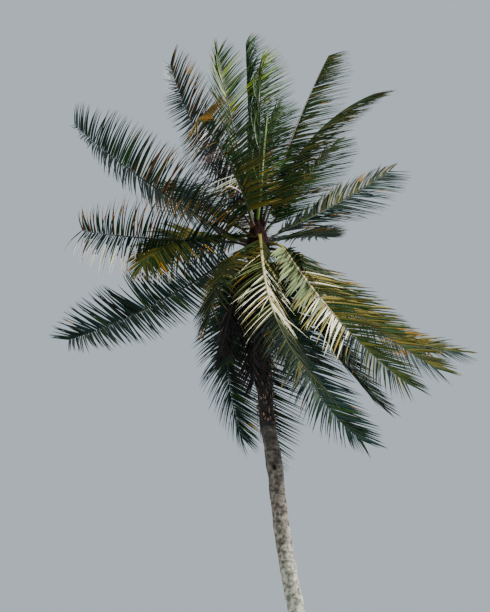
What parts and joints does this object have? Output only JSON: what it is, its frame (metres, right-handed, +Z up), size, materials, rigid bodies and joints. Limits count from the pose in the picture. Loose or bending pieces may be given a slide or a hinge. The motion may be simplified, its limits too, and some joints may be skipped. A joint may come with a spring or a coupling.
{
  "type": "coconut palm tree",
  "caption": "Tall leaning coconut palm with a slim curved trunk and a windblown crown of feather fronds, rooted in level ground.",
  "frame": {"origin": "middle of the flat cut under the trunk, at ground level", "axes": "+Z up, +X the way the wind blows and away from which the trunk leans, +Y to the back of the crown"},
  "size_m": [7.4761, 6.4583, 16.2105],
  "materials": {
    "bark": "rough ringed grey bark",
    "fibre": "coarse brown fibre",
    "green_leaf": "satin green leaf, paler and drier at the tips",
    "young_leaf": "satin yellow-green leaf",
    "dry_leaf": "dull dry brown leaf",
    "spathe": "ribbed dry woody bract"
  },
  "bodies": {
    "root": {"trunk": "bark", "leaf_base_bundle": "fibre", "spear_leaf": "young_leaf", "dry_spathe": "spathe", "frond_upright_centre_left": "green_leaf", "frond_upright_centre_right": "green_leaf", "frond_upright_left": "green_leaf", "frond_upright_right": "green_leaf", "frond_upright_back": "green_leaf", "frond_upright_back_right": "green_leaf", "frond_upright_front_inner": "green_leaf", "frond_upright_front_outer": "green_leaf", "frond_right_high": "green_leaf", "frond_right_back_high": "green_leaf", "frond_left_high": "green_leaf", "frond_left_back_high": "green_leaf", "frond_right_level": "green_leaf", "frond_back_level": "green_leaf", "frond_left_level": "green_leaf", "frond_left_front": "green_leaf", "frond_left_low": "green_leaf", "frond_back_low_left": "green_leaf", "frond_back_low_right": "green_leaf", "frond_right_outer_high": "green_leaf", "frond_right_outer_low": "green_leaf", "frond_right_low": "green_leaf", "frond_right_drooping": "green_leaf", "frond_front_drooping": "green_leaf", "frond_hanging_right": "green_leaf", "frond_trailing_right": "green_leaf", "frond_hanging_back": "green_leaf", "frond_hanging_left": "green_leaf", "frond_dry_left": "dry_leaf", "frond_dry_front": "dry_leaf", "frond_dry_right": "dry_leaf"}
  },
  "joints": []
}
